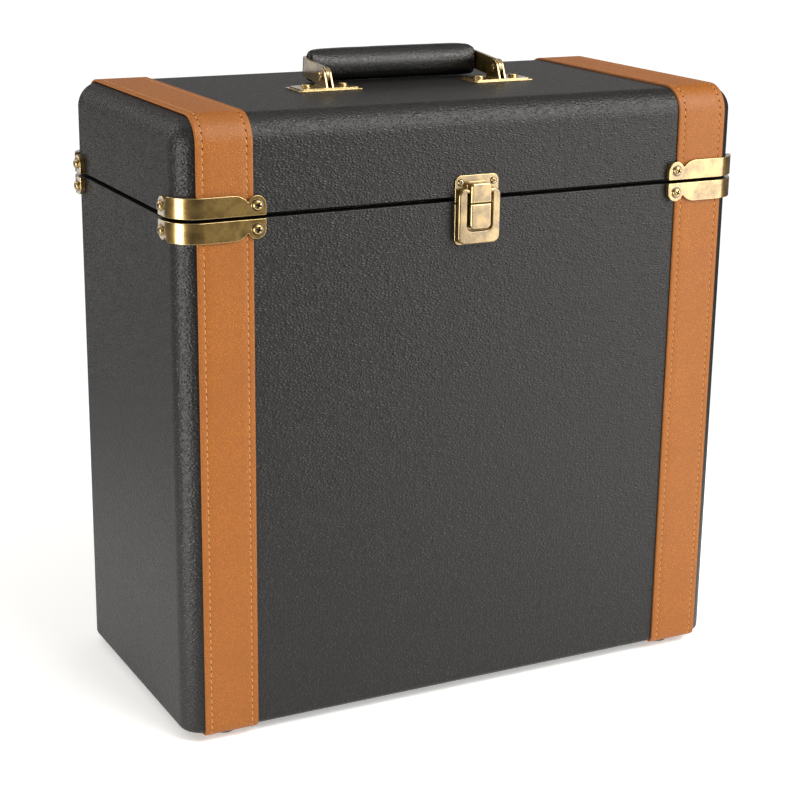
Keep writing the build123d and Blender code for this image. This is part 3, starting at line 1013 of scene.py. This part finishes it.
# Black vinyl leatherette, waxed: blacker, glossier and finer in grain than the case's covering.
grip_leather = grained("black vinyl leatherette, waxed", "#040403", "#12100d", 1.2, 0.2, 0.11)
# Polyester thread, dyed black: seen only as a low row of dashes along the seam.
black_thread = grained(
    "black polyester thread, twisted", "#060606", "#1c1b1a", 0.35, 0.4, 0.03
)


def drawn_in(x, radius):
    """How far a corner of this radius draws an outline in, at this place along the grip."""
    past = max(0, abs(x) - grip_half + radius)
    return radius - (radius**2 - past**2) ** 0.5


core = bmesh.new()
hoops = []
for i in range(2 * stations + 1):
    x = grip_half * sin(pi / 2 * (i / stations - 1))
    near = grip_y - grip_deep + drawn_in(x, grip_front)
    away = grip_y + grip_deep - drawn_in(x, grip_back)
    tall = grip_high - drawn_in(x, grip_end)
    hoop = []
    for k in range(around):
        c, v = cos(2 * pi * k / around), sin(2 * pi * k / around)
        blunt = 2 / (round_over if v > 0 else round_under)
        y = (near + away) / 2 + (away - near) / 2 * abs(c) ** blunt * (1 if c > 0 else -1)
        z = tall * abs(v) ** blunt * (1 if v > 0 else -1)
        hoop.append(core.verts.new(Vector((x, y, z)) * mm))
    hoops.append(hoop)
for hoop, other in zip(hoops, hoops[1:]):
    for k in range(around):
        j = (k + 1) % around
        core.faces.new((hoop[k], other[k], other[j], hoop[j]))
for hoop in (hoops[0], hoops[-1]):
    core.faces.new(hoop)
bmesh.ops.recalc_face_normals(core, faces=core.faces)
pad = put("padded_grip", core, [grip_leather], "handle", "grip", "handle_grip")

voxels = pad.modifiers.new("even mesh", "REMESH")
voxels.mode = "VOXEL"
voxels.voxel_size = grip_voxel * mm
worked(pad)
# The foam pushes the cover out, and no point of it may move further than the swell.
start = [v.co.copy() for v in pad.data.vertices]
foam = pad.modifiers.new("foam pushing out", "CLOTH")
foam.settings.use_pressure = True
foam.settings.uniform_pressure_force = 4
foam.settings.effector_weights.gravity = 0
for count in range(1, cloth_frames + 1):
    scene.frame_set(count)
worked(pad)
scene.frame_set(1)
for vert, old in zip(pad.data.vertices, start):
    move = vert.co - old
    vert.co = old + move * min(1, grip_swell * mm / max(move.length, 1e-9))
finer = pad.modifiers.new("finer mesh", "SUBSURF")
finer.levels = 1
finer.render_levels = 1
worked(pad)
# Pleats deepen toward the ends, shallow hollows lie all over and the seam pulls in a groove.
for vert in pad.data.vertices:
    x, y, z = vert.co / mm
    end = max(0, (abs(x) - pleat_from) / pleat_run) ** 2
    out = Vector((0, y - grip_y, z)).normalized()
    folds = 0.5 + 0.5 * cos(pleats * out.angle(Vector((0, 1, 0))) + 2 * sin(5 * z / 9))
    uneven = 0.5 + 0.5 * noise.noise(Vector((x, y, z)) / hollow_mm)
    groove = seam_in * max(0, 1 - abs(y - grip_y) / seam_half) if z < seam_below else 0
    inward = pleat * end * folds + hollow * uneven
    vert.co -= (out * inward - Vector((0, 0, groove))) * mm
pad.data.shade_smooth()
hold = Matrix.Translation(Vector((0, base_y, pivot_z)) * mm)
hold = hold @ Matrix.Rotation(rest_tilt, 4, "X")
pad.data.transform(hold)

line = [Vector((grip_y, y, seam_rise - grip_high)) * mm for y in (-seam_reach, seam_reach)]
grip_seam = stitched("grip_seam", [line], black_thread)
grip_seam.data.transform(hold @ Matrix.Rotation(-pi / 2, 4, "Z"))
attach(grip_seam, "handle")

# The feet: four tapered feet of moulded black rubber under the bands, each held by a zinc-plated
# screw that is sunk in its recess.
foot_recess = 2.6
bloom_mm, grit_mm = 50 / 11, 5 / 11

# Black rubber, moulded: matt and sooty, with a faint grey bloom and the grit of its mould. The grit
# is drawn coarser than it is, so that it shows.
rubber = bpy.data.materials.new("black rubber, moulded")
rubber.use_nodes = True
tree = rubber.node_tree
place = add(tree, "ShaderNodeTexCoord").outputs["Object"]
bloom = add(tree, "ShaderNodeTexNoise", {"Vector": place, "Scale": 1000 / bloom_mm, "Detail": 5})
mixed = add(
    tree,
    "ShaderNodeMix",
    {0: bloom.outputs["Fac"], 6: linear("#0a0a0a"), 7: linear("#151413")},
    data_type="RGBA",
)
grit = add(tree, "ShaderNodeTexNoise", {"Vector": place, "Scale": 1000 / grit_mm, "Detail": 2})
nap = add(
    tree, "ShaderNodeBump", {"Height": grit.outputs["Fac"], "Strength": 0.4, "Distance": 0.06 * mm}
)
shader = tree.nodes["Principled BSDF"]
tree.links.new(mixed.outputs[2], shader.inputs["Base Color"])
tree.links.new(nap.outputs[0], shader.inputs["Normal"])
shader.inputs["Roughness"].default_value = 0.72
# Steel, zinc-plated and passivated: a cool light grey, softly clouded.
steel = plated("zinc-plated steel", "#5d5f61", "#8d9093", "#c9cccf", 0.34)
foot_seats = []
for end in ("front", "rear"):
    for hand in ("left", "right"):
        node = f"foot_{end}_{hand}"
        put(f"{node}_piece", flattened(merged(node)), [rubber], "case", "rubber", node, edge=0.5)
        x, y = [(low + high) / 2 / mm for low, high in zip(*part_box(node))][:2]
        foot_seats.append(((x, y, foot_recess), Vector((0, 0, -1))))
screws("foot_screws", pan_head, foot_seats, steel, "case", 17)
